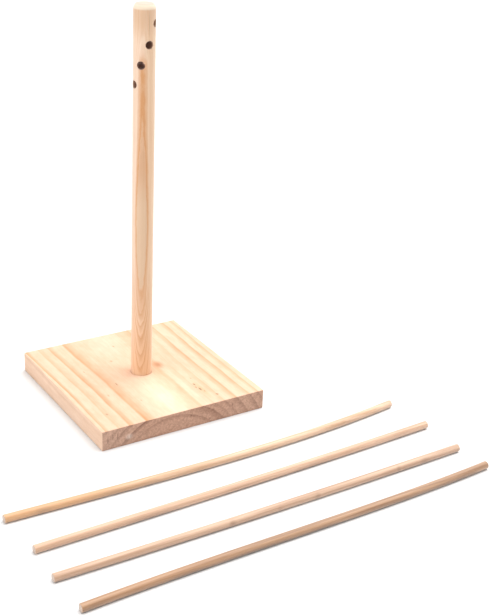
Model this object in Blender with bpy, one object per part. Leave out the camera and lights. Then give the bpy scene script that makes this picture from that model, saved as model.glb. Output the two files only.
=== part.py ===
"""A wooden rack of eight arms for drying fresh pasta, laid out before its arms are put in.

A square board carries an upright post, held from below by two wood screws. Four level holes go right
through the post near its top, each turned 45 degrees from the one above. Four loose rods lie on the table
in front of the stand. Each belongs in one hole, pushed half-way through, which makes eight arms.

The frame: +Z up, the table at Z = 0, the origin at the middle of the board's underside, -Y towards the front.
"""

import math

import bmesh
import bpy
import numpy as np
from mathutils import Matrix, Vector

# Driving dimensions, in metres and degrees.

# The board: one piece of softwood, its grain along Y.
BOARD_WIDTH = 0.1925
BOARD_LENGTH = 0.199
BOARD_THICKNESS = 0.022
BOARD_EDGE_EASE = 0.0007
BOARD_EASE_SEGMENTS = 2
BOARD_EASE_PROFILE = 0.5

# The post: a turned dowel that stands in a shallow socket in the board.
POST_DIAMETER = 0.0225
POST_RISE = 0.400
POST_TOP_ROUND_IN = 0.0045
POST_TOP_ROUND_DOWN = 0.0055
POST_FOOT_CHAMFER = 0.0008
SOCKET_DEPTH = 0.010
SEAT_GAP = 0.0003

# The rods, and the holes that take them.
ROD_DIAMETER = 0.008
ROD_LENGTH = 0.450
ROD_END_CHAMFER = 0.0007
ROD_HOLE_CLEARANCE = 0.00015
HOLE_BELOW_TOP = 0.019
HOLE_PITCH = 0.020
FIRST_HOLE_DIRECTION = -45.0
HOLE_STEP = -45.0

# Where each rod lies: how far its middle is ahead of the board's front edge and to the right of the post,
# and how far it is turned. Then how the dowel has bowed: the bow at its middle, and how much more it bows to
# the right of its middle than to the left.
RODS_ON_TABLE = {
    "rod_1": {"ahead": 0.0658, "right": -0.0033, "turned": 0.63, "bow": 0.0105, "lean": 0.0045},
    "rod_2": {"ahead": 0.1208, "right": 0.0022, "turned": 0.75, "bow": 0.0020, "lean": 0.0008},
    "rod_3": {"ahead": 0.1692, "right": 0.0005, "turned": -0.24, "bow": 0.0022, "lean": 0.0},
    "rod_4": {"ahead": 0.2124, "right": 0.0038, "turned": 0.75, "bow": 0.0015, "lean": 0.0045},
}

# The two countersunk wood screws under the post.
SCREW_SPREAD = 0.013
SCREW_SHANK_DIAMETER = 0.0035
SCREW_HEAD_DIAMETER = 0.0070
SCREW_HEAD_RIM = 0.0004
SCREW_HEAD_SINK = 0.0008
SCREW_LENGTH = 0.035
SCREW_POINT_LENGTH = 0.005
SCREW_POINT_DIAMETER = 0.0010
SCREW_SLOT_LENGTH = 0.0042
SCREW_SLOT_WIDTH = 0.0010
SCREW_SLOT_DEPTH = 0.0012

# How finely round pieces are divided.
POST_SIDES = 64
HOLE_SIDES = 32
ROD_SIDES = 20
ROD_STRETCHES = 24
SCREW_SIDES = 24
ROUND_OVER_STEPS = 8
CUT_MARGIN = 0.002

# What follows from them.
SOCKET_DIAMETER = POST_DIAMETER + 2 * SEAT_GAP
SOCKET_FLOOR = BOARD_THICKNESS - SOCKET_DEPTH
POST_FOOT = SOCKET_FLOOR + SEAT_GAP
POST_TOP = BOARD_THICKNESS + POST_RISE
HOLE_DIAMETER = ROD_DIAMETER + 2 * ROD_HOLE_CLEARANCE
SCREW_HOLE_DIAMETER = SCREW_SHANK_DIAMETER + 2 * SEAT_GAP
SCREW_TIP = SCREW_HEAD_SINK + SCREW_LENGTH
SMOOTH_ANGLE = math.radians(40)


def clear_scene():
    for old in list(bpy.data.objects):
        bpy.data.objects.remove(old, do_unlink=True)


def make_material(name, colour, roughness, metallic=0.0):
    """A Principled material of one colour."""
    material = bpy.data.materials.new(name)
    material.use_nodes = True
    shader = material.node_tree.nodes["Principled BSDF"]
    shader.inputs["Base Color"].default_value = (*colour, 1.0)
    shader.inputs["Roughness"].default_value = roughness
    shader.inputs["Metallic"].default_value = metallic
    material.diffuse_color = (*colour, 1.0)
    return material


def add_object(name, shape, material=None):
    """Turns a bmesh into a named object with its normals facing out."""
    bmesh.ops.recalc_face_normals(shape, faces=shape.faces)
    mesh = bpy.data.meshes.new(name)
    shape.to_mesh(mesh)
    shape.free()
    mesh.shade_smooth()
    mesh.set_sharp_from_angle(angle=SMOOTH_ANGLE)
    made = bpy.data.objects.new(name, mesh)
    bpy.context.scene.collection.objects.link(made)
    if material:
        mesh.materials.append(material)
    return made


def turned(profile, sides):
    """A solid of revolution about Z: the profile is (radius, height) points from the bottom to the top."""
    shape = bmesh.new()
    rings = []
    for radius, height in profile:
        ring = []
        for side in range(sides):
            angle = 2 * math.pi * side / sides
            ring.append(shape.verts.new((radius * math.cos(angle), radius * math.sin(angle), height)))
        rings.append(ring)
    for lower, upper in zip(rings, rings[1:]):
        for side in range(sides):
            after = (side + 1) % sides
            shape.faces.new((lower[side], lower[after], upper[after], upper[side]))
    shape.faces.new(rings[0])
    shape.faces.new(rings[-1])
    return shape


def cutter(name, shape):
    """A hidden helper that a Boolean cuts with."""
    helper = add_object(name, shape)
    helper.hide_render = True
    helper.display_type = "WIRE"
    return helper


def cut(piece, helper):
    boolean = piece.modifiers.new(helper.name, "BOOLEAN")
    boolean.operation = "DIFFERENCE"
    boolean.solver = "EXACT"
    boolean.object = helper


def screw_places():
    """The screws' names and their distances to the right of the post's axis."""
    return {"screw_left": -SCREW_SPREAD / 2, "screw_right": SCREW_SPREAD / 2}


def rod_hole_places():
    """The name, the direction in radians and the height of the hole for each rod, from the top down."""
    for index, name in enumerate(RODS_ON_TABLE):
        direction = math.radians(FIRST_HOLE_DIRECTION + index * HOLE_STEP)
        yield name, direction, POST_TOP - HOLE_BELOW_TOP - index * HOLE_PITCH


def make_board(material):
    """The square board with eased edges, the socket for the post and the two countersunk screw holes."""
    shape = bmesh.new()
    bmesh.ops.create_cube(shape, size=1.0)
    bmesh.ops.scale(shape, vec=(BOARD_WIDTH, BOARD_LENGTH, BOARD_THICKNESS), verts=shape.verts)
    bmesh.ops.translate(shape, vec=(0, 0, BOARD_THICKNESS / 2), verts=shape.verts)
    bmesh.ops.bevel(
        shape,
        geom=shape.edges[:],
        offset=BOARD_EDGE_EASE,
        segments=BOARD_EASE_SEGMENTS,
        profile=BOARD_EASE_PROFILE,
        affect="EDGES",
    )
    board = add_object("base_board", shape, material)

    radius = SOCKET_DIAMETER / 2
    socket = turned([(radius, SOCKET_FLOOR), (radius, BOARD_THICKNESS + CUT_MARGIN)], POST_SIDES)
    cut(board, cutter("socket_cutter", socket))

    # The countersink follows the screw's cone, SEAT_GAP away from it all round.
    hole = SCREW_HOLE_DIAMETER / 2
    mouth = SCREW_HEAD_DIAMETER / 2 + SEAT_GAP
    rim_top = SCREW_HEAD_SINK + SCREW_HEAD_RIM
    profile = [
        (mouth, -CUT_MARGIN),
        (mouth, rim_top),
        (hole, rim_top + mouth - hole),
        (hole, SOCKET_FLOOR + CUT_MARGIN),
    ]
    for name, right in screw_places().items():
        helper = cutter(f"{name}_hole_cutter", turned(profile, SCREW_SIDES))
        helper.location.x = right
        cut(board, helper)
    return board


def make_post(material):
    """The turned post with its rounded top, the four through holes and the two pilot holes in its foot."""
    radius = POST_DIAMETER / 2
    profile = [(radius - POST_FOOT_CHAMFER, POST_FOOT), (radius, POST_FOOT + POST_FOOT_CHAMFER)]
    for step in range(ROUND_OVER_STEPS + 1):
        angle = math.pi / 2 * step / ROUND_OVER_STEPS
        inward = POST_TOP_ROUND_IN * (1 - math.cos(angle))
        below = POST_TOP_ROUND_DOWN * (1 - math.sin(angle))
        profile.append((radius - inward, POST_TOP - below))
    post = add_object("post", turned(profile, POST_SIDES), material)

    half_length = radius + CUT_MARGIN
    bore = [(HOLE_DIAMETER / 2, -half_length), (HOLE_DIAMETER / 2, half_length)]
    for rod_name, direction, height in rod_hole_places():
        helper = cutter(f"{rod_name}_hole_cutter", turned(bore, HOLE_SIDES))
        helper.rotation_euler = (0, math.pi / 2, direction)
        helper.location.z = height
        cut(post, helper)

    pilot_end = SCREW_TIP + SEAT_GAP
    pilot = [(SCREW_HOLE_DIAMETER / 2, POST_FOOT - CUT_MARGIN), (SCREW_HOLE_DIAMETER / 2, pilot_end)]
    for name, right in screw_places().items():
        helper = cutter(f"{name}_pilot_cutter", turned(pilot, SCREW_SIDES))
        helper.location.x = right
        cut(post, helper)
    return post


def make_screw(name, right, material):
    """A countersunk wood screw, its head below the board's underside and its point in the post's foot."""
    head = SCREW_HEAD_DIAMETER / 2
    shank = SCREW_SHANK_DIAMETER / 2
    rim_top = SCREW_HEAD_SINK + SCREW_HEAD_RIM
    profile = [
        (head, SCREW_HEAD_SINK),
        (head, rim_top),
        (shank, rim_top + head - shank),
        (shank, SCREW_TIP - SCREW_POINT_LENGTH),
        (SCREW_POINT_DIAMETER / 2, SCREW_TIP),
    ]
    screw = add_object(name, turned(profile, SCREW_SIDES), material)
    screw.location.x = right

    for part, turn in (("along", 0.0), ("across", math.pi / 2)):
        slot = bmesh.new()
        bmesh.ops.create_cube(slot, size=1.0)
        size = (SCREW_SLOT_LENGTH, SCREW_SLOT_WIDTH, 2 * SCREW_SLOT_DEPTH)
        bmesh.ops.scale(slot, vec=size, verts=slot.verts)
        helper = cutter(f"{name}_slot_{part}_cutter", slot)
        helper.rotation_euler.z = turn
        helper.location = (right, 0, SCREW_HEAD_SINK)
        cut(screw, helper)
    return screw


def bow_of(share, bow, lean):
    """How far the rod's centre line has moved sideways, at a share from -1 to 1 of its half length."""
    return (1 - share * share) * (bow + lean * share)


def make_rod(name, lie, material):
    """A loose rod, straight but for its bow, with eased ends, lying on the table."""
    half = ROD_LENGTH / 2
    radius = ROD_DIAMETER / 2
    inner_end = half - ROD_END_CHAMFER
    stations = np.linspace(-inner_end, inner_end, ROD_STRETCHES + 1)
    rings = [(-half, radius - ROD_END_CHAMFER)]
    rings += [(along, radius) for along in stations]
    rings += [(half, radius - ROD_END_CHAMFER)]

    shape = turned([(size, along) for along, size in rings], ROD_SIDES)
    lay_down = Matrix.Rotation(math.pi / 2, 4, "Y")
    bmesh.ops.transform(shape, matrix=lay_down, verts=shape.verts)
    for vertex in shape.verts:
        vertex.co.y -= bow_of(vertex.co.x / half, lie["bow"], lie["lean"])
    rod = add_object(name, shape, material)
    rod.location = Vector((lie["right"], -BOARD_LENGTH / 2 - lie["ahead"], radius))
    rod.rotation_euler.z = math.radians(lie["turned"])
    return rod


def main():
    clear_scene()
    pine_board = make_material("pine board", (0.80, 0.62, 0.42), 0.55)
    pine_post = make_material("pine post", (0.78, 0.57, 0.38), 0.50)
    steel = make_material("zinc-plated steel", (0.62, 0.62, 0.60), 0.35, metallic=1.0)
    rod_colours = {
        "rod_1": (0.72, 0.45, 0.22),
        "rod_2": (0.80, 0.60, 0.38),
        "rod_3": (0.78, 0.56, 0.34),
        "rod_4": (0.66, 0.40, 0.20),
    }
    make_board(pine_board)
    make_post(pine_post)
    for name, right in screw_places().items():
        make_screw(name, right, steel)
    for name, lie in RODS_ON_TABLE.items():
        make_rod(name, lie, make_material(f"dowel of {name}", rod_colours[name], 0.50))


main()
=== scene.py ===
"""The looks of a softwood drying rack: a board, a turned post with four crossing holes, and four loose rods.

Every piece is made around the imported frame, in metres, where its own solid is.
"""

import math

import bmesh
import bpy
import numpy as np
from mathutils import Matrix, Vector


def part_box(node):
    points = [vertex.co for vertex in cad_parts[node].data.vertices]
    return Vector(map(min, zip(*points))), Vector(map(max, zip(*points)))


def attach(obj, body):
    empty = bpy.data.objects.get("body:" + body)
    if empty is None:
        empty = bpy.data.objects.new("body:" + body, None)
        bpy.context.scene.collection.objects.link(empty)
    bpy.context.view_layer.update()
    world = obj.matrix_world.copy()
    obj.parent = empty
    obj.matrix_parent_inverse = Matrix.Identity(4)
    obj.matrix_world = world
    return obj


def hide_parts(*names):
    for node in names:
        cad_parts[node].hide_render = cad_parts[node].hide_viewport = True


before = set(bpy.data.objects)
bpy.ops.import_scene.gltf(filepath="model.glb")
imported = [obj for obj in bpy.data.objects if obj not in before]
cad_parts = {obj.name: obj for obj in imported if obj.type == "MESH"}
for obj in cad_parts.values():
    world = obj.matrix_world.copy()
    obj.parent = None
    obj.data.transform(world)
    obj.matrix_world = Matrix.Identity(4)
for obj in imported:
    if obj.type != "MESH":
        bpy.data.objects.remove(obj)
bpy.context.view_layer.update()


# The board is one flat-sawn piece of pine, its heart below the underside and its grain running front to
# back, planed, sanded and left bare. Its edges are only just eased. A round socket takes the post, and two
# countersunk holes come up through the underside for the screws.

MM = 0.001
EDGE_EASE = 0.7 * MM
BOARD_CORNER = 0.8 * MM
SEAT_GAP = 0.3 * MM
SOCKET_LIP = 0.25 * MM
POINTS_ALONG_SIDE = 48
POINTS_ROUND_CORNER = 6
EASE_STEPS = 5
MERGE_DISTANCE = 0.002 * MM
SHARP_ANGLE = math.radians(38)

board_low, board_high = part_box("base_board")
post_low, post_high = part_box("post")
screw_low, screw_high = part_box("screw_left")
BOARD_TOP = board_high.z
POST_RADIUS = (post_high.x - post_low.x) / 2
POST_FOOT = post_low.z
SOCKET_FLOOR = POST_FOOT - SEAT_GAP
SOCKET_RADIUS = POST_RADIUS + SEAT_GAP
SCREW_OFFSET = -(screw_low.x + screw_high.x) / 2
SCREW_HEAD_RADIUS = (screw_high.x - screw_low.x) / 2
SCREW_SHANK_RADIUS = 1.75 * MM
SCREW_HEAD_RIM = 0.4 * MM
SCREW_HOLE_RADIUS = SCREW_SHANK_RADIUS + SEAT_GAP


def round_loop(radius, height, angles, centre=0.0):
    """A circle about an upright axis at X = centre, with one point at each angle."""
    x = centre + radius * np.cos(angles)
    y = radius * np.sin(angles)
    return np.stack([x, y, np.full(len(angles), height)], axis=-1)


def board_loop(half_x, half_y, corner, height):
    """The board's outline, anticlockwise from the middle of its right side: straight sides joined by quarter
    circles of the corner's radius. Every size has as many points, so that loops pair up point for point."""
    side = np.linspace(-1, 1, POINTS_ALONG_SIDE + 1)[:-1]
    turn = np.linspace(0, math.pi / 2, POINTS_ROUND_CORNER + 1)[:-1]
    inner_x, inner_y = half_x - corner, half_y - corner
    quarters = []
    for quarter in range(4):
        across, along = (inner_x, inner_y) if quarter % 2 == 0 else (inner_y, inner_x)
        straight = np.stack([np.full(len(side), across + corner), side * along], axis=-1)
        arc = np.stack([across + corner * np.cos(turn), along + corner * np.sin(turn)], axis=-1)
        cosine = round(math.cos(quarter * math.pi / 2))
        sine = round(math.sin(quarter * math.pi / 2))
        turned = np.array([[cosine, sine], [-sine, cosine]])
        quarters.append(np.concatenate([straight, arc]) @ turned)
    flat = np.roll(np.concatenate(quarters), -(POINTS_ALONG_SIDE // 2), axis=0)
    return np.concatenate([flat, np.full((len(flat), 1), height)], axis=1)


def skin_between(first, last, steps=1, crowd=1.0):
    """A patch ruled between two loops: at a share s of the way it is first + (last - first) * s ** crowd."""
    share = np.linspace(0, 1, steps + 1)[:, None, None] ** crowd
    return first[None] + (last - first)[None] * share


def skin_over(loops):
    """A patch that passes through every loop in turn."""
    return np.stack(loops)


def half_of(loop, side, steps=12):
    """The part of a loop right (side 1) or left (side -1) of X = 0, closed by a straight run along X = 0."""
    on_axis = np.flatnonzero(np.abs(loop[:, 0]) < MERGE_DISTANCE / 10)
    start = on_axis[np.argmin(side * loop[on_axis, 1])]
    end = on_axis[np.argmax(side * loop[on_axis, 1])]
    rolled = np.roll(loop, -start, axis=0)
    part = rolled[: (end - start) % len(loop) + 1]
    back = part[-1] + (part[0] - part[-1]) * np.linspace(0, 1, steps + 1)[1:-1, None]
    return np.concatenate([part, back])


def angles_about(loop, centre):
    """The angle of each of a loop's points about an upright axis at X = centre."""
    return np.arctan2(loop[:, 1], loop[:, 0] - centre)


def join_skins(name, patches):
    """One closed mesh of patches, each an array of closed loops of points. Shared borders are merged."""
    points, faces, first = [], [], 0
    for patch in patches:
        rows, columns = patch.shape[:2]
        index = first + np.arange(rows * columns).reshape(rows, columns)
        after = np.roll(index, -1, axis=1)
        quads = np.stack([index[:-1], after[:-1], after[1:], index[1:]], axis=-1)
        points.append(patch.reshape(-1, 3))
        faces.append(quads.reshape(-1, 4))
        first += rows * columns
    mesh = bpy.data.meshes.new(name)
    mesh.from_pydata(np.concatenate(points).tolist(), [], np.concatenate(faces).tolist())
    working = bmesh.new()
    working.from_mesh(mesh)
    bmesh.ops.remove_doubles(working, verts=working.verts, dist=MERGE_DISTANCE)
    bmesh.ops.recalc_face_normals(working, faces=working.faces)
    working.to_mesh(mesh)
    working.free()
    mesh.shade_smooth()
    mesh.set_sharp_from_angle(angle=SHARP_ANGLE)
    piece = bpy.data.objects.new(name, mesh)
    bpy.context.scene.collection.objects.link(piece)
    return piece


def screw_hole_skins(rim, mouth_height, levels, far_rim=None):
    """For each side of X = 0: the flat patch from the rim loop to a screw hole's edge, and the hole's turned
    wall through (radius, height) levels. A last radius of 0 closes the hole. With a far rim, the wall's last
    loop has that rim's angles, so that it meets the patch laid inside it."""
    skins = []
    for side in (-1, 1):
        centre = side * SCREW_OFFSET
        border = half_of(rim, side)
        angles = angles_about(border, centre)
        edge = round_loop(levels[0][0], mouth_height, angles, centre)
        skins.append(skin_between(border, edge, steps=6))
        wall = [round_loop(radius, z, angles, centre) for radius, z in levels]
        if far_rim is not None:
            wall[-1] = round_loop(*levels[-1], angles_about(half_of(far_rim, side), centre), centre)
        skins.append(skin_over(wall))
    return skins


def make_board():
    """The board as patches: its top, the socket, the sides with their edges eased by quarter circles, the
    underside, and the two screw holes."""
    half_x, half_y = (board_high.x - board_low.x) / 2, (board_high.y - board_low.y) / 2
    ease = np.linspace(0, math.pi / 2, EASE_STEPS + 1)
    inset = EDGE_EASE * (1 - np.sin(ease))
    drop = EDGE_EASE * (1 - np.cos(ease))
    eased = list(zip(inset, drop))
    upper = [board_loop(half_x - i, half_y - i, BOARD_CORNER - i, BOARD_TOP - d) for i, d in eased]
    lower = [board_loop(half_x - i, half_y - i, BOARD_CORNER - i, d) for i, d in reversed(eased)]

    angles = angles_about(upper[0], 0.0)
    socket = [
        round_loop(SOCKET_RADIUS + SOCKET_LIP, BOARD_TOP, angles),
        round_loop(SOCKET_RADIUS, BOARD_TOP - SOCKET_LIP, angles),
        round_loop(SOCKET_RADIUS, SOCKET_FLOOR, angles),
    ]
    # The underside is ruled from its edge to an oblong round both screw holes.
    under_middle = board_loop(3 * SCREW_OFFSET, 2 * SCREW_OFFSET, 0.0, 0.0)
    head_gap = SCREW_HEAD_RADIUS + SEAT_GAP
    rim_top = screw_low.z + SCREW_HEAD_RIM
    hole_levels = [
        (head_gap, 0.0),
        (head_gap, rim_top),
        (SCREW_HOLE_RADIUS, rim_top + head_gap - SCREW_HOLE_RADIUS),
        (SCREW_HOLE_RADIUS, SOCKET_FLOOR),
    ]
    patches = [
        skin_between(socket[0], upper[0], steps=10, crowd=1.4),
        skin_over(socket),
        skin_over(upper + lower),
        skin_between(lower[-1], under_middle, steps=8),
        *screw_hole_skins(under_middle, 0.0, hole_levels, far_rim=socket[-1]),
        *screw_hole_skins(socket[-1], SOCKET_FLOOR, [hole_levels[-1]]),
    ]
    return join_skins("board_pine", patches)


# A surface shows end grain where it faces along the grain: the cosines at which that starts and is full.
END_GRAIN_FROM = 0.55
END_GRAIN_FULL = 0.9


def store_share(mesh, name, share):
    """Stores a share of 0 to 1 at every point, eased at both ends as 3 s**2 - 2 s**3."""
    attribute = mesh.attributes.new(name, "FLOAT", "POINT")
    attribute.data.foreach_set("value", (share * share * (3 - 2 * share)).astype(np.float32))


def mark_end_grain(piece, grain):
    """Stores how much end grain each point shows, by the cosine between its normal and the grain."""
    normals = np.empty(len(piece.data.vertices) * 3, np.float32)
    piece.data.vertex_normals.foreach_get("vector", normals)
    facing = np.abs(normals.reshape(-1, 3) @ np.asarray(grain, np.float32))
    share = np.clip((facing - END_GRAIN_FROM) / (END_GRAIN_FULL - END_GRAIN_FROM), 0, 1)
    store_share(piece.data, "end_grain", share)


def give(material, node, inputs):
    """Gives each of a node's inputs a value, or a link from another node's output."""
    for key, value in inputs.items():
        if isinstance(value, bpy.types.NodeSocket):
            material.node_tree.links.new(value, node.inputs[key])
        else:
            node.inputs[key].default_value = value


def shader_node(material, kind, inputs, **settings):
    """Adds a node, with its own settings and its inputs."""
    node = material.node_tree.nodes.new(kind)
    for name, value in settings.items():
        setattr(node, name, value)
    give(material, node, inputs)
    return node


def in_millimetres(material, scale=(1, 1, 1)):
    """The piece's own coordinates in millimetres, times scale on each axis."""
    own = shader_node(material, "ShaderNodeTexCoord", {}).outputs["Object"]
    sized = shader_node(material, "ShaderNodeMapping", {"Vector": own, "Scale": [s / MM for s in scale]})
    return sized.outputs["Vector"]


def axis_of(material, vector, axis):
    """One coordinate of a vector."""
    return shader_node(material, "ShaderNodeSeparateXYZ", {0: vector}).outputs[axis]


def stored(material, name):
    """The share that is stored at the mesh's points under a name."""
    return shader_node(material, "ShaderNodeAttribute", {}, attribute_name=name).outputs["Fac"]


def cloudy(material, scale, detail=2.0, roughness=0.5):
    """A soft noise from 0 to 1 whose patches are about 1 / scale millimetres long on each axis."""
    where = in_millimetres(material, scale)
    inputs = {"Vector": where, "Scale": 1.0, "Detail": detail, "Roughness": roughness}
    return shader_node(material, "ShaderNodeTexNoise", inputs).outputs["Fac"]


def spread(material, value, low, high, to_low=0.0, to_high=1.0):
    """Value moved from the range low to high into another range, smoothly and clamped."""
    inputs = {"Value": value, "From Min": low, "From Max": high, "To Min": to_low, "To Max": to_high}
    mapped = shader_node(material, "ShaderNodeMapRange", inputs, interpolation_type="SMOOTHSTEP")
    return mapped.outputs["Result"]


def sums(material, kind, first, second=0.0, third=0.0):
    """One step of arithmetic on up to three values."""
    node = shader_node(material, "ShaderNodeMath", {0: first, 1: second, 2: third}, operation=kind)
    return node.outputs["Value"]


def times(material, first, second):
    """The product of two values."""
    return sums(material, "MULTIPLY", first, second)


def vectors(material, kind, first, second=(0, 0, 0)):
    """One step of arithmetic on vectors. It gives a vector, or a value for a length or a distance."""
    node = shader_node(material, "ShaderNodeVectorMath", {0: first, 1: second}, operation=kind)
    return node.outputs["Value" if kind in ("LENGTH", "DISTANCE") else "Vector"]


def blended(material, share, first, second, kind="MIX"):
    """Two colours mixed by share. A colour is a linear red, green, blue triple, or a link. The node's two
    colours are its inputs 6 and 7, and their mix is its output 2."""
    first = first if isinstance(first, bpy.types.NodeSocket) else (*first, 1.0)
    second = second if isinstance(second, bpy.types.NodeSocket) else (*second, 1.0)
    inputs = {"Factor": share, 6: first, 7: second}
    return shader_node(material, "ShaderNodeMix", inputs, data_type="RGBA", blend_type=kind).outputs[2]


def tinted(material, colour, share, low, high):
    """The colour times a tone that runs from low to high with share."""
    return blended(material, 1.0, colour, blended(material, share, low, high), "MULTIPLY")


def patch_of(material, here, centre, halves, softness=1.0):
    """An oval patch round a centre, with half sizes in millimetres: 1 inside, falling smoothly to 0 at its
    border. The fall takes up the share of the oval that softness gives."""
    shrink = [1 / half for half in halves]
    sized = vectors(material, "MULTIPLY", vectors(material, "SUBTRACT", here, centre), shrink)
    return spread(material, vectors(material, "LENGTH", sized), 1.0, 1.0 - softness)


def stained(material, here, colour, centre, halves, strength, tone, softness=1.0):
    """The colour with an oval patch of a tone laid over it, at a strength from 0 to 1."""
    patch = patch_of(material, here, centre, halves, softness)
    return blended(material, times(material, patch, strength), colour, tone)


# The late wood of a ring, from its inside out: shares of its width inwards from the ring's outer radius, and
# how dark it is there. Two neighbouring places stay at least RING_STEP millimetres apart.
RING_PROFILE = ((2.0, 0.0), (0.75, 0.6), (0.15, 1.0), (-0.22, 0.0))
RING_STEP = 0.02


def ring_strength(material, radius, rings, limits):
    """How dark the growth rings are at a radius in millimetres, between two limits. Each ring (its outer
    radius, the width of its late wood, its strength) darkens slowly outwards and stops sharply at its outer
    radius."""
    near, far = limits
    share = shader_node(material, "ShaderNodeMapRange", {"Value": radius, "From Min": near, "From Max": far})
    ramp = shader_node(material, "ShaderNodeValToRGB", {"Fac": share.outputs["Result"]})
    ramp.color_ramp.interpolation = "EASE"
    stops = ramp.color_ramp.elements
    stops.remove(stops[1])
    stops[0].color = (0, 0, 0, 1)
    place = near
    for outer, width, strength in rings:
        for inward, darkness in RING_PROFILE:
            place = max(outer - inward * width, place + RING_STEP)
            grey = darkness * strength
            stop = stops.new((place - near) / (far - near))
            stop.color = (grey, grey, grey, 1)
    return ramp.outputs["Color"]


def new_surface(name, finish):
    """A new material with one shader, whose inputs take the values in finish."""
    material = bpy.data.materials.new(name)
    material.use_nodes = True
    material.node_tree.nodes.clear()
    shader = shader_node(material, "ShaderNodeBsdfPrincipled", finish)
    shader_node(material, "ShaderNodeOutputMaterial", {"Surface": shader.outputs["BSDF"]})
    return material, shader


def matt_surface(name, fuzz=0.0, gloss=0.15, roughness=0.7):
    """A plain surface. Fuzz is how strongly the standing fibres of wood pale it where it turns away."""
    finish = {
        "Roughness": roughness,
        "Specular IOR Level": gloss,
        "Sheen Weight": fuzz,
        "Sheen Roughness": 0.45,
    }
    return new_surface(name, finish)


# How strongly the fibres of sanded wood stand out, and how high they stand.
FIBRE_RELIEF = 0.3
FIBRE_HEIGHT = 0.2 * MM


def lay_on(material, shader, colour, fibre):
    """Gives a wooden surface its colour and its fine ridges of fibre."""
    relief = {"Height": fibre, "Strength": FIBRE_RELIEF, "Distance": FIBRE_HEIGHT}
    bump = shader_node(material, "ShaderNodeBump", relief)
    give(material, shader, {"Base Color": colour, "Normal": bump.outputs["Normal"]})


# Places on the wood are in millimetres: right of the middle, back of it, and up from the table. These are the
# height of the board's top, the place of its front face, and a half size that takes in a whole piece.
TOP_FACE = 22.0
FRONT_FACE = -99.5
EVERYWHERE = 9000.0
# The heart of the tree (right and up), how far to each side of it the two sets of growth rings blend, and the
# rings on each side: outer radius and width of the late wood, then the strength.
HEART_OF_BOARD = (-15.0, -50.0)
HEART_BLEND = 6.0
BOARD_RING_LIMITS = (40.0, 140.0)
RINGS_LEFT = (
    (56.0, 2.0, 0.15),
    (69.6, 2.0, 0.45),
    (79.4, 2.4, 1.0),
    (89.0, 2.3, 0.95),
    (96.6, 2.6, 0.5),
    (106.2, 1.6, 0.95),
    (110.0, 1.0, 0.3),
)
RINGS_RIGHT = (
    (69.6, 2.0, 0.45),
    (80.8, 4.2, 0.55),
    (88.0, 2.2, 0.22),
    (95.8, 2.2, 0.42),
    (106.2, 3.4, 0.72),
    (118.4, 2.8, 0.75),
    (127.6, 2.2, 0.65),
)
# Areas over the early wood: a painted pool of light at the top's front middle, a paler and redder area at the
# back, and painted warm shade and reflection round the post's foot; then dark ones over the rings. Each has
# its middle, half sizes, strength and tone.
TOP_TONES_AND_PAINTED_LIGHT = (
    ((-2.0, -62.0, TOP_FACE), (40.0, 84.0, 60.0), 1.0, (0.82, 0.64, 0.475)),
    ((-8.0, 75.0, TOP_FACE), (30.0, 60.0, 60.0), 0.5, (0.78, 0.56, 0.43)),
    ((-3.0, 9.0, TOP_FACE), (42.0, 22.0, 30.0), 0.4, (0.75, 0.46, 0.32)),
)
DARK_AREAS = (
    ((23.5, 5.5, TOP_FACE), (8.0, 13.0, 8.0), 0.95, (0.50, 0.255, 0.14)),
    ((38.0, -66.0, TOP_FACE), (5.5, 36.0, 7.0), 0.5, (0.60, 0.36, 0.18)),
)
# Short dark flecks of resin on the top: right, back, half width and half length, then the strength.
FLECKS = (
    (36.0, -54.0, 1.5, 3.6, 0.85),
    (36.5, -66.0, 1.7, 4.8, 0.9),
    (34.5, -60.5, 1.1, 2.8, 0.8),
    (38.5, -72.0, 1.0, 2.4, 0.7),
    (39.5, -40.0, 0.9, 2.2, 0.5),
    (47.0, -84.0, 2.3, 3.0, 0.7),
    (-38.0, -15.0, 1.0, 4.6, 0.7),
    (-0.4, 68.0, 1.5, 2.8, 0.5),
    (-19.0, 36.0, 1.8, 3.0, 0.5),
    (-31.0, -59.0, 1.0, 3.0, 0.4),
    (-57.0, -34.0, 1.1, 3.0, 0.45),
    (-57.0, 26.0, 1.0, 3.6, 0.45),
    (-76.0, -69.0, 1.8, 3.2, 0.5),
)
FLECK_DEPTH = 1.2
# Dark specks and saw marks in the front end grain: right, up, half width and half height.
SPECKS = (
    (6.9, 14.3, 1.8, 1.6),
    (29.5, 4.7, 2.2, 1.6),
    (33.3, 14.3, 2.4, 1.7),
    (28.0, 16.5, 1.4, 1.2),
    (57.2, 14.0, 1.6, 3.0),
    (-90.0, 11.0, 1.1, 6.0),
    (-84.5, 14.0, 1.0, 5.0),
    (-79.0, 13.0, 1.0, 6.0),
)
SPECK_DEPTH = 4.0


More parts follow.
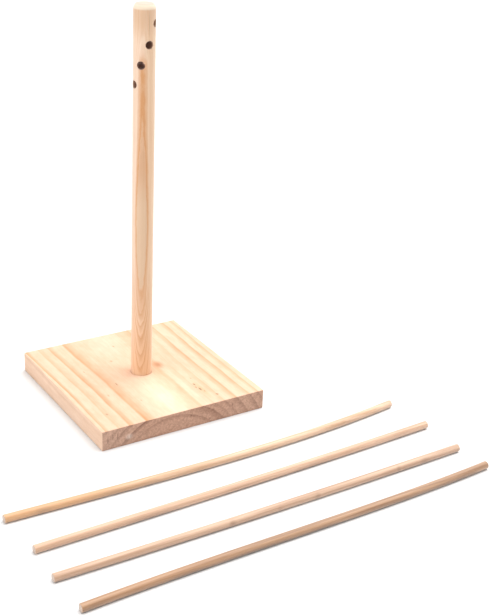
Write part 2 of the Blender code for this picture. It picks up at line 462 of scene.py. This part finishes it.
def board_ring_pattern(material, here):
    """How dark the growth rings round the heart are, from 0 to 1. They wander a little along the grain and
    spread towards the back, where the first one on the right swings out further."""
    across, along, height = (axis_of(material, here, axis) for axis in "XYZ")
    spreading = spread(material, along, 100.0, -20.0, -0.96, 0.6)
    near_first = patch_of(material, here, (25.0, 0.0, 10.0), (34.0, EVERYWHERE, EVERYWHERE))
    swing = times(material, spread(material, along, -20.0, 95.0, 0.0, 11.0), near_first)
    ripple = sums(material, "MULTIPLY_ADD", cloudy(material, (0.05, 0.018, 0.05), 3.0), 3.4, -1.7)
    moved = sums(material, "ADD", sums(material, "SUBTRACT", across, swing), ripple)
    from_heart = {
        "X": sums(material, "SUBTRACT", moved, HEART_OF_BOARD[0]),
        "Y": sums(material, "SUBTRACT", height, HEART_OF_BOARD[1]),
    }
    flat = shader_node(material, "ShaderNodeCombineXYZ", from_heart).outputs["Vector"]
    radius = sums(material, "ADD", vectors(material, "LENGTH", flat), spreading)
    left = ring_strength(material, radius, RINGS_LEFT, BOARD_RING_LIMITS)
    right = ring_strength(material, radius, RINGS_RIGHT, BOARD_RING_LIMITS)
    middle = HEART_OF_BOARD[0]
    side = spread(material, across, middle - HEART_BLEND, middle + HEART_BLEND)
    return blended(material, side, left, right)


def board_pine():
    """Pale early wood with paler and redder areas, a painted pool of light at the top's front, painted warm
    shade round the post's foot, brown late wood along the rings, streaks and fibre with the grain, dark
    flecks, and darker speckled end grain on the front and the back."""
    material, shader = matt_surface("pine of the board")
    here = in_millimetres(material)
    across = axis_of(material, here, "X")
    patchy = spread(material, cloudy(material, (0.03, 0.012, 0.03), 3.0), 0.3, 0.7, 0.55, 1.0)
    faint_on_left_side = spread(material, across, -96.0, -95.0, 0.6, 1.0)
    rings = board_ring_pattern(material, here)
    rings = times(material, rings, times(material, patchy, faint_on_left_side))

    tint = spread(material, cloudy(material, (0.03, 0.008, 0.03), 3.0), 0.3, 0.7)
    face = blended(material, tint, (0.725, 0.47, 0.33), (0.745, 0.51, 0.372))
    # The first area is a painted pool of light, and the last is painted warm shade and reflection round the
    # post's foot.
    for area in TOP_TONES_AND_PAINTED_LIGHT:
        face = stained(material, here, face, *area)
    face = blended(material, rings, face, (0.55, 0.275, 0.13))
    for area in DARK_AREAS:
        face = stained(material, here, face, *area)
    left_side = spread(material, across, -95.5, -96.0)
    face = blended(material, times(material, left_side, 0.4), face, (0.82, 0.64, 0.50))

    streak = cloudy(material, (0.55, 0.006, 0.55), 3.0, 0.6)
    face = tinted(material, face, streak, (0.93, 0.90, 0.87), (1.06, 1.08, 1.10))
    fibre = cloudy(material, (1.8, 0.05, 1.8), 4.0, 0.7)
    face = tinted(material, face, fibre, (0.91, 0.90, 0.88), (1.06, 1.06, 1.07))
    mottle = spread(material, cloudy(material, (0.14, 0.055, 0.14), 3.0, 0.6), 0.32, 0.68)
    face = tinted(material, face, mottle, (0.965, 0.95, 0.93), (1.03, 1.04, 1.05))
    for right, back, half_width, half_length, strength in FLECKS:
        centre = (right, back, TOP_FACE)
        halves = (half_width, half_length, FLECK_DEPTH)
        face = stained(material, here, face, centre, halves, strength, (0.25, 0.17, 0.09), softness=0.8)

    end_rings = sums(material, "POWER", rings, 0.85)
    end = blended(material, end_rings, (0.518, 0.314, 0.225), (0.24, 0.12, 0.082))
    pale_left = spread(material, across, -40.0, -95.0)
    end = blended(material, times(material, pale_left, 0.4), end, (0.62, 0.43, 0.335))
    pale_right = spread(material, across, 30.0, 75.0)
    end = blended(material, times(material, pale_right, 0.3), end, (0.62, 0.41, 0.31))
    for right, up, half_width, half_height in SPECKS:
        centre = (right, FRONT_FACE, up)
        halves = (half_width, SPECK_DEPTH, half_height)
        end = stained(material, here, end, centre, halves, 0.6, (0.16, 0.08, 0.06))
    rubbed = ((-66.0, FRONT_FACE, 9.0), (6.0, SPECK_DEPTH, 5.0), 0.55, (0.78, 0.66, 0.58))
    end = stained(material, here, end, *rubbed)
    speckle = spread(material, cloudy(material, (0.42, 0.42, 0.42), 6.0, 0.8), 0.3, 0.7)
    end = tinted(material, end, speckle, (0.76, 0.73, 0.71), (1.20, 1.21, 1.22))

    lay_on(material, shader, blended(material, stored(material, "end_grain"), face, end), fibre)
    return material


board = make_board()
mark_end_grain(board, (0, 1, 0))
board.data.materials.append(board_pine())
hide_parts("base_board")
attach(board, "stand")


# The post is a turned pine dowel with its top edge rounded over by hand. Four holes are drilled right through
# it, each turned 45 degrees from the one above, and two blind pilot holes in its foot take the screws.

POINTS_ROUND_POST = 128
LONG_STRETCH_STEPS = 40
SHORT_STRETCH_STEPS = 4
HOLE_RADIUS = 4.15 * MM
HOLE_BELOW_TOP = 19.0 * MM
HOLE_PITCH = 20.0 * MM
HOLE_DIRECTIONS = (-45.0, -90.0, -135.0, -180.0)
HOLE_EASE = 0.12 * MM
HOLE_EASE_STEPS = 3
HOLE_WALL_STEPS = 12
# The depth over which a hole's wall darkens: partly its drilled end grain, partly painted shade.
BORE_TONE_AND_SHADE_DEPTH = 1.0 * MM
TOP_ROUND_IN = 4.5 * MM
TOP_ROUND_DOWN = 5.5 * MM
TOP_ROUND_STEPS = 14
TOP_LOOPS = (0.7, 0.35, 0.0)
FOOT_CHAMFER = 0.8 * MM
# Each hole sits in a band of the round face this far above and below it. The face round the hole is ruled in
# steps that crowd towards the hole's edge.
HOLE_BAND = 7.0 * MM
HOLE_BAND_STEPS = 16
HOLE_RULE_STEPS = 12
HOLE_RULE_CROWD = 1.6


def on_post(angle, height):
    """Points of the post's round face at angles and heights."""
    return np.stack([POST_RADIUS * np.cos(angle), POST_RADIUS * np.sin(angle), height], axis=-1)


def hole_band_skins(direction, height):
    """The stretch of post round one hole. At an angle t round the hole, its edge lies r sin(t) up and
    asin(r cos(t) / R) round the post, where r and R are the radii of the hole's edge and of the post. Each
    half-turn is a patch from that edge to the half-turn's border, ruled in angle and height so that it stays
    on the round face. The hole's wall, with eased edges, runs from one edge to the other."""
    half = POINTS_ROUND_POST // 2
    quarter_turn = math.pi / 2
    along = np.linspace(-quarter_turn, quarter_turn, half + 1)
    up = np.linspace(-HOLE_BAND, HOLE_BAND, HOLE_BAND_STEPS + 1)[1:-1]
    bottom = np.full(half + 1, -HOLE_BAND)
    seam = np.full(len(up), quarter_turn)
    border_angle = np.concatenate([along, seam, along[::-1], -seam])
    border_up = np.concatenate([bottom, up, -bottom, up[::-1]])
    around = np.arctan2(border_up, POST_RADIUS * border_angle)
    sideways, upwards = np.cos(around), np.sin(around)
    edge_radius = HOLE_RADIUS + HOLE_EASE
    edge_angle = np.arcsin(edge_radius * sideways / POST_RADIUS)
    edge_up = edge_radius * upwards

    share = np.linspace(0, 1, HOLE_RULE_STEPS + 1)[:, None] ** HOLE_RULE_CROWD
    angle = edge_angle + (border_angle - edge_angle) * share
    level = edge_up + (border_up - edge_up) * share
    skins = [on_post(turn + angle, height + level) for turn in (direction, direction + math.pi)]

    face = np.sqrt(POST_RADIUS**2 - (edge_radius * sideways) ** 2)
    mouth = []
    for ease in np.linspace(0, math.pi / 2, HOLE_EASE_STEPS + 1):
        size = HOLE_RADIUS + HOLE_EASE * (1 - math.sin(ease))
        mouth.append((size, face - HOLE_EASE * (1 - math.cos(ease))))
    wall = list(mouth)
    wall += [(HOLE_RADIUS, mouth[-1][1] * s) for s in np.linspace(1, -1, HOLE_WALL_STEPS + 1)[1:-1]]
    wall += [(size, -reach) for size, reach in reversed(mouth)]
    along_axis = np.array([math.cos(direction), math.sin(direction), 0.0])
    across_axis = np.array([-math.sin(direction), math.cos(direction), 0.0])
    up_axis = np.array([0.0, 0.0, 1.0])
    loops = [
        np.outer(reach, along_axis)
        + np.outer(size * sideways, across_axis)
        + np.outer(height + size * upwards, up_axis)
        for size, reach in wall
    ]
    skins.append(skin_over(loops))
    return skins


def make_post():
    """The post as patches, from the foot up: the foot with its chamfer and pilot holes, plain stretches and
    bands with a hole in turn, and the top, whose edge follows a quarter of an oval."""
    angles = np.linspace(0, 2 * math.pi, POINTS_ROUND_POST + 1)[:-1]
    top = post_high.z
    foot = [
        round_loop(POST_RADIUS - FOOT_CHAMFER, POST_FOOT, angles),
        round_loop(POST_RADIUS, POST_FOOT + FOOT_CHAMFER, angles),
    ]
    pilot_end = screw_high.z + SEAT_GAP
    pilot = [(SCREW_HOLE_RADIUS, POST_FOOT), (SCREW_HOLE_RADIUS, pilot_end), (0.0, pilot_end)]
    patches = [skin_over(foot), *screw_hole_skins(foot[0], POST_FOOT, pilot)]
    below = POST_FOOT + FOOT_CHAMFER
    steps = LONG_STRETCH_STEPS
    for index in reversed(range(len(HOLE_DIRECTIONS))):
        height = top - HOLE_BELOW_TOP - index * HOLE_PITCH
        lower = round_loop(POST_RADIUS, below, angles)
        upper = round_loop(POST_RADIUS, height - HOLE_BAND, angles)
        patches.append(skin_between(lower, upper, steps))
        patches += hole_band_skins(math.radians(HOLE_DIRECTIONS[index]), height)
        below = height + HOLE_BAND
        steps = SHORT_STRETCH_STEPS
    crown = [round_loop(POST_RADIUS, below, angles)]
    for turn in np.linspace(0, math.pi / 2, TOP_ROUND_STEPS + 1):
        radius = POST_RADIUS - TOP_ROUND_IN * (1 - math.cos(turn))
        crown.append(round_loop(radius, top - TOP_ROUND_DOWN * (1 - math.sin(turn)), angles))
    crown += [round_loop(share * (POST_RADIUS - TOP_ROUND_IN), top, angles) for share in TOP_LOOPS]
    patches.append(skin_over(crown))
    return join_skins("post_pine", patches)


# The share stored here darkens the holes' walls: partly their drilled end grain, partly painted shade deep
# inside.
def mark_bore_tone_and_shade(piece):
    """Stores how deep a point lies in one of the four holes: 0 on the round face, rising to 1 at BORE_TONE_AND_SHADE_DEPTH
    below it. The post above and below the holes gets 0."""
    points = np.empty(len(piece.data.vertices) * 3, np.float32)
    piece.data.vertices.foreach_get("co", points)
    points = points.reshape(-1, 3)
    from_axis = np.hypot(points[:, 0], points[:, 1])
    top = post_high.z - HOLE_BELOW_TOP + HOLE_BAND
    bottom = top - HOLE_BAND * 2 - HOLE_PITCH * (len(HOLE_DIRECTIONS) - 1)
    between = (points[:, 2] < top) & (points[:, 2] > bottom)
    store_share(piece.data, "bore_tone_and_shade", np.clip((POST_RADIUS - from_axis) / BORE_TONE_AND_SHADE_DEPTH, 0, 1) * between)


# The heart of the tree runs up behind the post: its distance from the post's middle against the height, both
# in millimetres. The rings come out as nested tongues near the foot and one long flame above them.
HEART_DIRECTION = math.radians(56.0)
HEART_DISTANCES = (
    (12.0, 34.9),
    (32.0, 35.85),
    (47.0, 36.65),
    (67.6, 37.75),
    (82.0, 38.55),
    (98.0, 39.40),
    (127.0, 40.24),
    (142.0, 40.62),
    (165.0, 41.15),
    (200.0, 41.30),
    (250.0, 40.85),
    (297.0, 40.22),
    (330.0, 40.06),
    (345.0, 40.04),
    (363.0, 40.00),
    (374.0, 39.35),
    (390.0, 38.7),
    (422.0, 38.3),
)
# The heights run up to POST_TOP, and the distances from HEART_NEAR over a range of HEART_RANGE.
POST_TOP = 422.0
HEART_NEAR = 30.0
HEART_RANGE = 20.0
POST_RING_LIMITS = (25.0, 55.0)
POST_RINGS = (
    (45.2, 0.35, 0.45),
    (47.10, 0.30, 0.60),
    (47.90, 0.30, 0.55),
    (49.00, 0.40, 0.70),
    (49.80, 0.34, 0.60),
    (50.65, 0.40, 0.75),
    (51.49, 0.72, 1.0),
)
# The rounding is paler than the side, partly as it was cut last and partly as a painted highlight from the
# light above: the height of its lower border and how it fades in.
CROWN_LINE = 415.8
CROWN_FADE = 2.0


def distance_from_heart(material, here, height):
    """The distance from the heart, which stands off the post's middle by a smooth curve through the listed
    distances, read as shares of the heights and of the range."""
    share = sums(material, "DIVIDE", height, POST_TOP)
    curve = shader_node(material, "ShaderNodeFloatCurve", {"Value": share})
    line = curve.mapping.curves[0]
    shares = [(place / POST_TOP, (reach - HEART_NEAR) / HEART_RANGE) for place, reach in HEART_DISTANCES]
    for place in shares[1:-1]:
        line.points.new(*place)
    line.points[0].location = shares[0]
    line.points[-1].location = shares[-1]
    curve.mapping.update()
    reach = sums(material, "MULTIPLY_ADD", curve.outputs["Value"], HEART_RANGE, HEART_NEAR)
    heart = {
        "X": times(material, reach, math.cos(HEART_DIRECTION)),
        "Y": times(material, reach, math.sin(HEART_DIRECTION)),
        "Z": height,
    }
    heart = shader_node(material, "ShaderNodeCombineXYZ", heart).outputs["Vector"]
    return vectors(material, "DISTANCE", here, heart)


def post_pine():
    """Warm early wood, paler on the left as painted light from that side, redder and brighter at the foot,
    partly its own tone and partly painted light bounced from the board, the rings' brown late wood, a warm
    lens inside the flame, streaks and fibre up the grain, a fine crack below the top, a pale crown that is
    partly a painted highlight, and walls in the holes darkened partly by their end grain and partly by
    painted shade."""
    material, shader = matt_surface("pine of the post", fuzz=0.4)
    here = in_millimetres(material)
    across, height = axis_of(material, here, "X"), axis_of(material, here, "Z")
    sway = sums(material, "MULTIPLY_ADD", cloudy(material, (0.02, 0.02, 0.018), 2.0), 0.6, -0.3)
    ripple = sums(material, "MULTIPLY_ADD", cloudy(material, (0.25, 0.25, 0.10), 3.0, 0.6), 0.7, -0.35)
    distance = distance_from_heart(material, here, height)
    radius = sums(material, "ADD", distance, sums(material, "ADD", sway, ripple))
    inner = ring_strength(material, radius, POST_RINGS[:-1], POST_RING_LIMITS)
    inner = times(material, inner, spread(material, height, 165.0, 115.0, 0.4, 1.0))
    outer = ring_strength(material, radius, POST_RINGS[-1:], POST_RING_LIMITS)
    outer = times(material, outer, spread(material, height, 110.0, 230.0, 0.72, 1.0))
    rings = sums(material, "MAXIMUM", outer, inner)

    tint = spread(material, cloudy(material, (0.10, 0.10, 0.006), 2.0), 0.35, 0.65)
    early = blended(material, tint, (0.78, 0.545, 0.37), (0.80, 0.59, 0.42))
    # Painted light from the left: the post's left side is made paler, less so near the top.
    below_top = spread(material, height, 404.0, 380.0, 0.45, 1.0)
    painted_light_left = times(material, spread(material, across, -1.0, -8.0), below_top)
    early = blended(material, times(material, painted_light_left, 0.8), early, (0.845, 0.655, 0.52))
    lens = spread(material, radius, 51.3, 51.7)
    lens_above = spread(material, height, 212.0, 262.0)
    lens_tone = blended(material, lens_above, (0.69, 0.485, 0.325), (0.62, 0.355, 0.20))
    early = blended(material, times(material, lens, 0.85), early, lens_tone)
    # Redder and brighter towards the foot: partly the wood's own tone, partly painted light bounced up from
    # the board.
    foot = spread(material, height, 150.0, 25.0)
    early = blended(material, times(material, foot, 0.75), early, (0.86, 0.545, 0.325))
    early = blended(material, spread(material, height, 385.0, 410.0), early, (0.71, 0.49, 0.335))

    face = blended(material, rings, early, (0.63, 0.315, 0.14))
    streak = cloudy(material, (0.6, 0.6, 0.006), 3.0, 0.6)
    face = tinted(material, face, streak, (0.92, 0.88, 0.84), (1.06, 1.09, 1.12))
    fibre = cloudy(material, (1.8, 1.8, 0.05), 4.0, 0.7)
    face = tinted(material, face, fibre, (0.92, 0.91, 0.89), (1.05, 1.05, 1.06))
    crack = ((-0.5, -11.2, 403.0), (0.5, 1.0, 21.0), 0.6, (0.36, 0.20, 0.11))
    face = stained(material, here, face, *crack)
    # The pale crown is partly a painted highlight from the light above.
    crown = spread(material, sums(material, "ADD", height, ripple), CROWN_LINE, CROWN_LINE + CROWN_FADE)
    face = blended(material, crown, face, (0.80, 0.66, 0.51))

    end = blended(material, rings, (0.56, 0.49, 0.395), (0.48, 0.39, 0.29))
    colour = blended(material, stored(material, "end_grain"), face, end)
    # Dark walls in the holes: partly drilled end grain, partly painted shade.
    colour = blended(material, stored(material, "bore_tone_and_shade"), colour, (0.38, 0.20, 0.13))
    lay_on(material, shader, colour, fibre)
    return material


post = make_post()
mark_end_grain(post, (0, 0, 1))
mark_bore_tone_and_shade(post)
post.data.materials.append(post_pine())
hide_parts("post")
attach(post, "stand")


# The two wood screws that hold the post are zinc-plated steel, countersunk, with a cross slot. They come up
# through the board into the post's foot, and they keep the shapes of their solids.


def zinc():
    """Bright plated metal with faint marks of turning round the screw's axis."""
    material, shader = new_surface("zinc-plated steel", {"Metallic": 1.0})
    turning = cloudy(material, (0.3, 0.3, 6.0), 3.0, 0.6)
    relief = shader_node(material, "ShaderNodeBump", {"Height": turning, "Distance": 0.05 * MM})
    finish = {
        "Base Color": blended(material, turning, (0.46, 0.46, 0.45), (0.68, 0.68, 0.66)),
        "Roughness": spread(material, cloudy(material, (0.8, 0.8, 0.8)), 0.2, 0.8, 0.28, 0.45),
        "Normal": relief.outputs["Normal"],
    }
    give(material, shader, finish)
    return material


screw_zinc = zinc()
for name in ("screw_left", "screw_right"):
    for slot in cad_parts[name].material_slots:
        slot.material = screw_zinc


# The rods are 8 mm dowels cut to 450 mm, their ends lightly sanded. Each has dried into a bow of its own and
# lies on the table with the bow flat. They come from different sticks, so each has its own colour.

POINTS_ROUND_ROD = 40
ROD_STATIONS = 120
ROD_END_EASE = 0.7 * MM
ROD_END_STEPS = 5
ROD_LENGTH = 450.0 * MM
ROD_RADIUS = 4.0 * MM
# How each rod lies: its middle right of the post and ahead of the board, its bow, and how much more it bows
# on the right, all in millimetres, and how far it is turned, in degrees.
RODS = {
    "rod_1": {"right": -3.3, "ahead": 65.8, "bow": 10.5, "lean": 4.5, "turned": 0.63, "slot": "dowel_honey"},
    "rod_2": {"right": 2.2, "ahead": 120.8, "bow": 2.0, "lean": 0.8, "turned": 0.75, "slot": "dowel_pale"},
    "rod_3": {"right": 0.5, "ahead": 169.2, "bow": 2.2, "lean": 0.0, "turned": -0.24, "slot": "dowel_pale"},
    "rod_4": {"right": 3.8, "ahead": 212.4, "bow": 1.5, "lean": 4.5, "turned": 0.75, "slot": "dowel_brown"},
}


def make_rod(name, lie):
    """A round rod carried along its bowed centre line: at a share s of the half length the line has moved
    sideways by (1 - s * s) * (bow + lean * s). Its ends are eased by a quarter circle."""
    half = ROD_LENGTH / 2
    inner = half - ROD_END_EASE
    ease = np.linspace(0, math.pi / 2, ROD_END_STEPS + 1)
    end_along = (inner + ROD_END_EASE * np.cos(ease))[:-1]
    end_size = (ROD_RADIUS - ROD_END_EASE * (1 - np.sin(ease)))[:-1]
    straight = np.linspace(-inner, inner, ROD_STATIONS + 1)
    full = np.full(ROD_STATIONS + 1, ROD_RADIUS)
    along = np.concatenate([[-half, -half], -end_along, straight, end_along[::-1], [half, half]])
    size = np.concatenate([[0, ROD_RADIUS / 2], end_size, full, end_size[::-1], [ROD_RADIUS / 2, 0]])

    share = along / half
    sideways = -(1 - share**2) * (lie["bow"] + lie["lean"] * share) * MM
    around = np.linspace(0, 2 * math.pi, POINTS_ROUND_ROD + 1)[:-1]
    x = np.broadcast_to(along[:, None], (len(along), len(around)))
    y = sideways[:, None] + size[:, None] * np.cos(around)
    z = ROD_RADIUS + size[:, None] * np.sin(around)
    turned = math.radians(lie["turned"])
    placed_x = lie["right"] * MM + x * math.cos(turned) - y * math.sin(turned)
    placed_y = board_low.y - lie["ahead"] * MM + x * math.sin(turned) + y * math.cos(turned)
    return join_skins(f"{name}_dowel", [np.stack([placed_x, placed_y, z], axis=-1)])


# Pale wood, late wood, and the tone of the left end with how strongly it shows.
ROD_COLOURS = {
    "rod_1": ((0.73, 0.505, 0.345), (0.56, 0.34, 0.195), (0.59, 0.315, 0.14), 0.75),
    "rod_2": ((0.67, 0.445, 0.305), (0.52, 0.31, 0.19), (0.58, 0.365, 0.235), 0.3),
    "rod_3": ((0.61, 0.41, 0.28), (0.45, 0.27, 0.17), (0.51, 0.325, 0.21), 0.2),
    "rod_4": ((0.45, 0.265, 0.15), (0.28, 0.145, 0.07), (0.41, 0.22, 0.11), 0.5),
}
# Darker places in the wood: right, half length and up in millimetres, then the strength. Their tone is a
# share of the late wood's, and they reach PLACE_HALF_HEIGHT up and down.
ROD_PLACES = {
    "rod_1": (
        (-192.0, 14.0, 4.0, 0.7),
        (-120.0, 45.0, 4.0, 0.55),
        (-82.0, 26.0, 2.5, 0.5),
        (150.0, 60.0, 3.5, 0.3),
    ),
    "rod_2": (
        (-108.0, 42.0, 3.0, 0.65),
        (-10.0, 24.0, 4.0, 0.25),
        (75.0, 30.0, 3.0, 0.45),
        (190.0, 26.0, 4.0, 0.3),
    ),
    "rod_3": (
        (-50.0, 6.0, 4.5, 0.7),
        (2.0, 4.0, 4.0, 0.4),
        (45.0, 5.0, 4.5, 0.6),
        (144.0, 3.6, 4.5, 0.7),
        (178.0, 9.0, 4.5, 0.6),
    ),
    "rod_4": (
        (-210.0, 26.0, 4.5, 0.4),
        (-120.0, 36.0, 2.5, 0.6),
        (-50.0, 60.0, 2.0, 0.8),
        (20.0, 40.0, 1.5, 0.6),
        (180.0, 40.0, 3.5, 0.3),
    ),
}
PLACE_TONE = 0.72
PLACE_HALF_HEIGHT = 4.5


def rod_wood(name):
    """Pale wood with streaks of late wood along the rod, a tone of its own at the left end, darker places,
    and plain end grain."""
    material, shader = matt_surface(f"dowel of {name}", fuzz=0.6, gloss=0.6, roughness=0.5)
    pale, dark, left_tone, left_strength = ROD_COLOURS[name]
    here = in_millimetres(material)
    streak = spread(material, cloudy(material, (0.008, 0.38, 0.38), 4.0, 0.6), 0.36, 0.64)
    face = blended(material, streak, pale, dark)
    left_end = spread(material, axis_of(material, here, "X"), -40.0, -150.0)
    face = blended(material, times(material, left_end, left_strength), face, left_tone)
    place_tone = [PLACE_TONE * tone for tone in dark]
    for right, half_length, up, strength in ROD_PLACES[name]:
        halves = (half_length, EVERYWHERE, PLACE_HALF_HEIGHT)
        face = stained(material, here, face, (right, 0.0, up), halves, strength, place_tone)
    fibre = cloudy(material, (0.03, 2.2, 2.2), 4.0, 0.7)
    face = tinted(material, face, fibre, (0.86, 0.85, 0.83), (1.08, 1.08, 1.09))
    colour = blended(material, stored(material, "end_grain"), face, (0.50, 0.355, 0.26))
    lay_on(material, shader, colour, fibre)
    return material


for name, lie in RODS.items():
    rod = make_rod(name, lie)
    mark_end_grain(rod, (1, 0, 0))
    rod.data.materials.append(rod_wood(name))
    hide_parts(name)
    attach(rod, name)


# The floor is a seamless white sheet in a white room, under soft white light from above and from both sides.
# The camera stands ahead of the board on its left, higher than the post, and looks down at the rack.

FLOOR_SIZE = 14.0
FLOOR_GAP = 0.05 * MM
FLOOR_TONE = 0.72
ROOM_LIGHT = 0.42
SUN_SOFTNESS = 60


def make_floor():
    """A square sheet, just below the table's height so that nothing cuts into it."""
    half = FLOOR_SIZE / 2
    corners = [(x * half, y * half, -FLOOR_GAP) for x, y in ((-1, -1), (1, -1), (1, 1), (-1, 1))]
    mesh = bpy.data.meshes.new("white_floor")
    mesh.from_pydata(corners, [], [(0, 1, 2, 3)])
    floor = bpy.data.objects.new("white_floor", mesh)
    bpy.context.scene.collection.objects.link(floor)
    material, shader = matt_surface("white sheet")
    give(material, shader, {"Base Color": (FLOOR_TONE, FLOOR_TONE, FLOOR_TONE, 1.0)})
    mesh.materials.append(material)
    return floor


def add_sun(name, strength, azimuth, elevation):
    """A soft distant light from an azimuth, measured anticlockwise from +X, and an elevation, in degrees."""
    data = bpy.data.lights.new(name, "SUN")
    data.energy = strength
    data.angle = math.radians(SUN_SOFTNESS)
    sun = bpy.data.objects.new(name, data)
    sun.rotation_euler = (0, math.radians(90 - elevation), math.radians(azimuth))
    bpy.context.scene.collection.objects.link(sun)


make_floor()
add_sun("light_above", 3.9, azimuth=15, elevation=72)
add_sun("light_right", 0.35, azimuth=-15, elevation=30)
add_sun("light_left", 1.42, azimuth=190, elevation=30)
world = bpy.data.worlds.new("white room")
world.use_nodes = True
background = world.node_tree.nodes["Background"]
background.inputs["Color"].default_value = (1, 1, 1, 1)
background.inputs["Strength"].default_value = ROOM_LIGHT
bpy.context.scene.world = world
bpy.context.scene.view_settings.view_transform = "Standard"

camera_data = bpy.data.cameras.new("camera")
camera_data.lens = 69.5
camera_data.sensor_width = 36.0
camera = bpy.data.objects.new("camera", camera_data)
camera.location = (-0.5473, -1.0306, 0.6338)
camera.rotation_euler = (math.radians(65.465), math.radians(-2.541), math.radians(-32.257))
bpy.context.scene.collection.objects.link(camera)
bpy.context.scene.camera = camera
